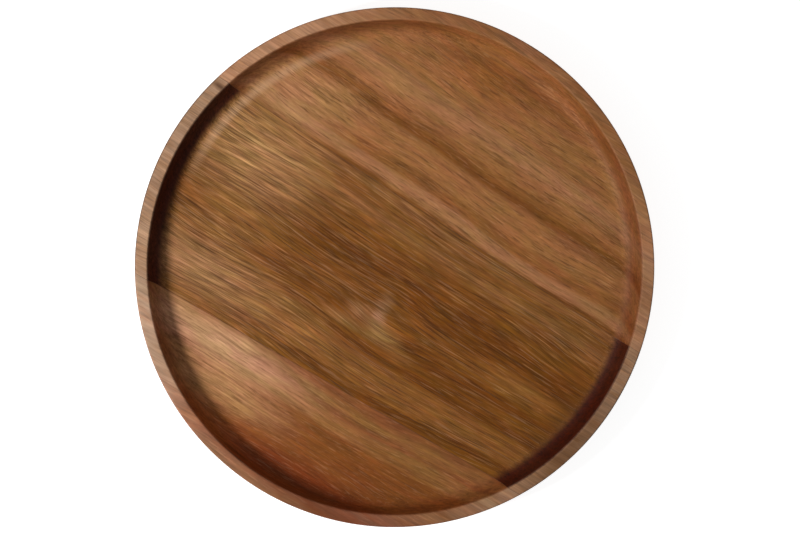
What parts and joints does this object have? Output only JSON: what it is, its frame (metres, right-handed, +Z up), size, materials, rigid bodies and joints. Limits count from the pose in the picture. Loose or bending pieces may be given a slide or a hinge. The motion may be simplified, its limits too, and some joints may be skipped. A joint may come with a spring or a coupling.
{
  "type": "offering plate",
  "caption": "Round shallow wooden offering plate with a raised flat rim, turned from boards glued edge to edge, for passing and collecting offerings.",
  "frame": {"origin": "middle of the flat base, on the turning axis", "axes": "+Z up along the turning axis, out of the recess; +X along the grain of the boards; +Y across the grain, towards the wide side board"},
  "size_m": [0.305, 0.305, 0.022],
  "materials": {
    "red_brown_wood": "oiled satin, red-brown heartwood",
    "golden_brown_wood": "oiled satin, golden-brown heartwood with dark pores",
    "pale_streaked_wood": "oiled satin, red-brown with a paler streak beside the joint",
    "cured_wood_glue": "thin cured glue film, darkened by the finishing oil"
  },
  "bodies": {
    "root": {"wide_side_board": "red_brown_wood", "middle_board": "golden_brown_wood", "narrow_side_board": "pale_streaked_wood", "wide_side_glue_line": "cured_wood_glue", "narrow_side_glue_line": "cured_wood_glue"}
  },
  "joints": []
}
